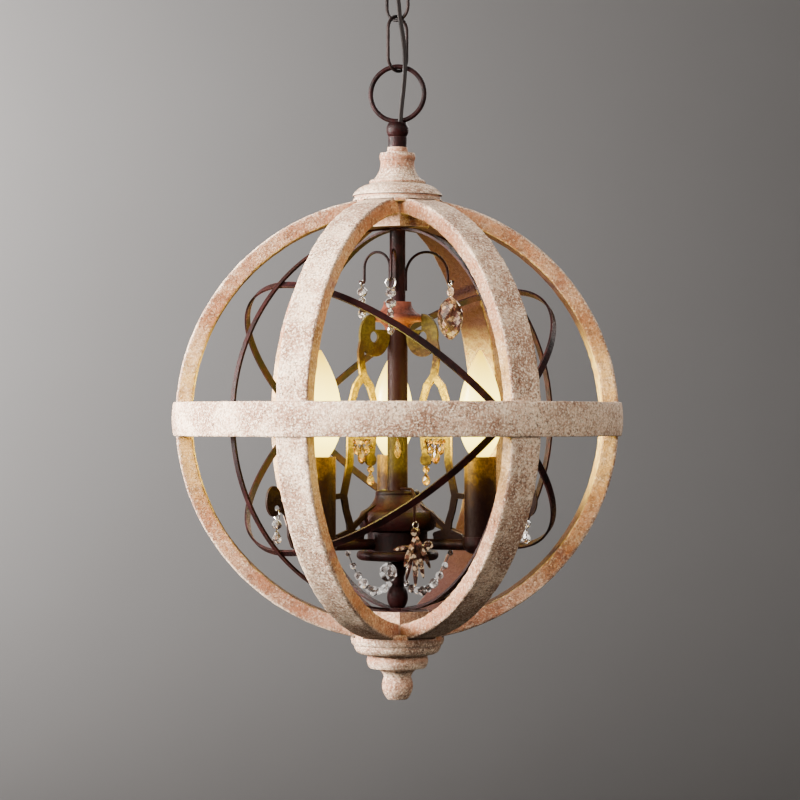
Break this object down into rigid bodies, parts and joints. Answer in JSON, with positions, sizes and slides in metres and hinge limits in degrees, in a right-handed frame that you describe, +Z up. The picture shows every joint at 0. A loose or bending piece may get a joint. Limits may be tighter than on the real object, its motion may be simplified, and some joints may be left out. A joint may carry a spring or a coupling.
{
  "type": "orb chandelier",
  "caption": "Hanging orb of pale wooden ribs round an iron cage with candle lamps, scrolled brackets and glass drops, on chain links under a ceiling canopy.",
  "frame": {"origin": "centre of the mounting strap's two slots, in the ceiling plane", "axes": "+Z up into the ceiling, +X along the mounting strap, the front of the orb faces -Y"},
  "size_m": [0.3998, 0.3998, 0.7079],
  "materials": {
    "painted_wood": "pale distressed wash over red-brown wood",
    "dowel_wood": "bare turned dowel",
    "dark_iron": "dark rust-brown paint, half gloss",
    "chain_iron": "dark brown paint",
    "plated_steel": "zinc plated",
    "ground_green": "green plated",
    "cord_sheath": "dark flexible sheath",
    "connector_plastic": "moulded",
    "socket_phenolic": "moulded",
    "lamp_brass": "rolled thread",
    "lamp_glass": "clear, lit warm",
    "crystal": "cut and polished"
  },
  "bodies": {
    "ceiling_fitting": {"mounting_strap": "plated_steel", "canopy": "dark_iron", "canopy_nipple": "plated_steel", "strap_nuts": "plated_steel", "canopy_loop": "dark_iron", "wire_connectors": "connector_plastic", "ground_screw": "ground_green", "cord_upper": "cord_sheath"},
    "upper_link": {"chain_link_upper": "chain_iron", "cord_middle": "cord_sheath"},
    "lower_link": {"chain_link_lower": "chain_iron", "cord_lower": "cord_sheath"},
    "orb": {"rib_1": "painted_wood", "rib_2": "painted_wood", "rib_3": "painted_wood", "rib_4": "painted_wood", "rib_5": "painted_wood", "rib_6": "painted_wood", "equator_band": "painted_wood", "top_cap": "painted_wood", "bottom_finial": "painted_wood", "top_block": "painted_wood", "bottom_block": "painted_wood", "wooden_dowels": "dowel_wood", "upright_hoops": "dark_iron", "oblique_hoops": "dark_iron", "stem_tube": "dark_iron", "bell_collar": "dark_iron", "column_tube": "dark_iron", "hub_shell": "dark_iron", "hub_cover": "dark_iron", "tail_spindle": "dark_iron", "scroll_bracket_1": "dark_iron", "scroll_bracket_2": "dark_iron", "scroll_bracket_3": "dark_iron", "candle_arms": "dark_iron", "candle_sleeves": "dark_iron", "hook_wires": "dark_iron", "collar_nut": "dark_iron", "ball_nut": "dark_iron", "hanging_ring": "dark_iron", "centre_pipe": "plated_steel", "tail_rod": "plated_steel", "hub_nuts": "plated_steel", "inner_wiring": "cord_sheath", "lamp_sockets": "socket_phenolic", "small_drops": "crystal"},
    "bulb_1": {"bulb_base_1": "lamp_brass", "bulb_glass_1": "lamp_glass"},
    "bulb_2": {"bulb_base_2": "lamp_brass", "bulb_glass_2": "lamp_glass"},
    "bulb_3": {"bulb_base_3": "lamp_brass", "bulb_glass_3": "lamp_glass"},
    "hook_drop_front_body": {"hook_drop_front": "crystal"},
    "hook_drop_right_body": {"hook_drop_right": "crystal"},
    "hook_drop_left_body": {"hook_drop_left": "crystal"},
    "drop_spray_body": {"drop_spray": "crystal"},
    "outer_drop_1_body": {"outer_drop_1": "crystal"},
    "outer_drop_2_body": {"outer_drop_2": "crystal"},
    "outer_drop_3_body": {"outer_drop_3": "crystal"}
  },
  "joints": [
    {"name": "upper_link_swing", "type": "hinge", "parent": "ceiling_fitting", "child": "upper_link", "pos_m": [0, 0, -0.06046], "axis": [0.7071, 0.7071, 0], "range_deg": [-20, 20], "deforming": ["cord_upper"]},
    {"name": "lower_link_swing", "type": "hinge", "parent": "upper_link", "child": "lower_link", "pos_m": [0, 0, -0.10516], "axis": [-0.7071, 0.7071, 0], "range_deg": [-20, 20], "deforming": ["cord_middle"]},
    {"name": "orb_swing", "type": "hinge", "parent": "lower_link", "child": "orb", "pos_m": [0, 0, -0.15036], "axis": [0.7071, 0.7071, 0], "range_deg": [-20, 20], "deforming": ["cord_lower"]},
    {"name": "bulb_1_unscrew", "type": "slide", "parent": "orb", "child": "bulb_1", "axis": [0, 0, 1], "range_m": [0, 0.028]},
    {"name": "bulb_2_unscrew", "type": "slide", "parent": "orb", "child": "bulb_2", "axis": [0, 0, 1], "range_m": [0, 0.028]},
    {"name": "bulb_3_unscrew", "type": "slide", "parent": "orb", "child": "bulb_3", "axis": [0, 0, 1], "range_m": [0, 0.028]},
    {"name": "hook_drop_front_swing", "type": "hinge", "parent": "orb", "child": "hook_drop_front_body", "pos_m": [-0.00784, -0.03144, -0.33766], "axis": [-0.2419, -0.9703, 0], "range_deg": [-25, 25]},
    {"name": "hook_drop_right_swing", "type": "hinge", "parent": "orb", "child": "hook_drop_right_body", "pos_m": [0.04858, 0.01963, -0.33766], "axis": [0.9272, 0.3746, 0], "range_deg": [-25, 25]},
    {"name": "hook_drop_left_swing", "type": "hinge", "parent": "orb", "child": "hook_drop_left_body", "pos_m": [-0.03026, 0.02364, -0.33766], "axis": [-0.788, 0.6157, 0], "range_deg": [-25, 25]},
    {"name": "drop_spray_swing", "type": "hinge", "parent": "orb", "child": "drop_spray_body", "pos_m": [0.01348, -0.03914, -0.55166], "axis": [0.3256, -0.9455, 0], "range_deg": [-8, 8]},
    {"name": "outer_drop_1_swing", "type": "hinge", "parent": "orb", "child": "outer_drop_1_body", "pos_m": [0, 0.12447, -0.53776], "axis": [0, 1, 0], "range_deg": [-15, 15]},
    {"name": "outer_drop_2_swing", "type": "hinge", "parent": "orb", "child": "outer_drop_2_body", "pos_m": [-0.10779, -0.06223, -0.53776], "axis": [-0.866, -0.5, 0], "range_deg": [-15, 15]},
    {"name": "outer_drop_3_swing", "type": "hinge", "parent": "orb", "child": "outer_drop_3_body", "pos_m": [0.10779, -0.06223, -0.53776], "axis": [0.866, -0.5, 0], "range_deg": [-15, 15]}
  ]
}
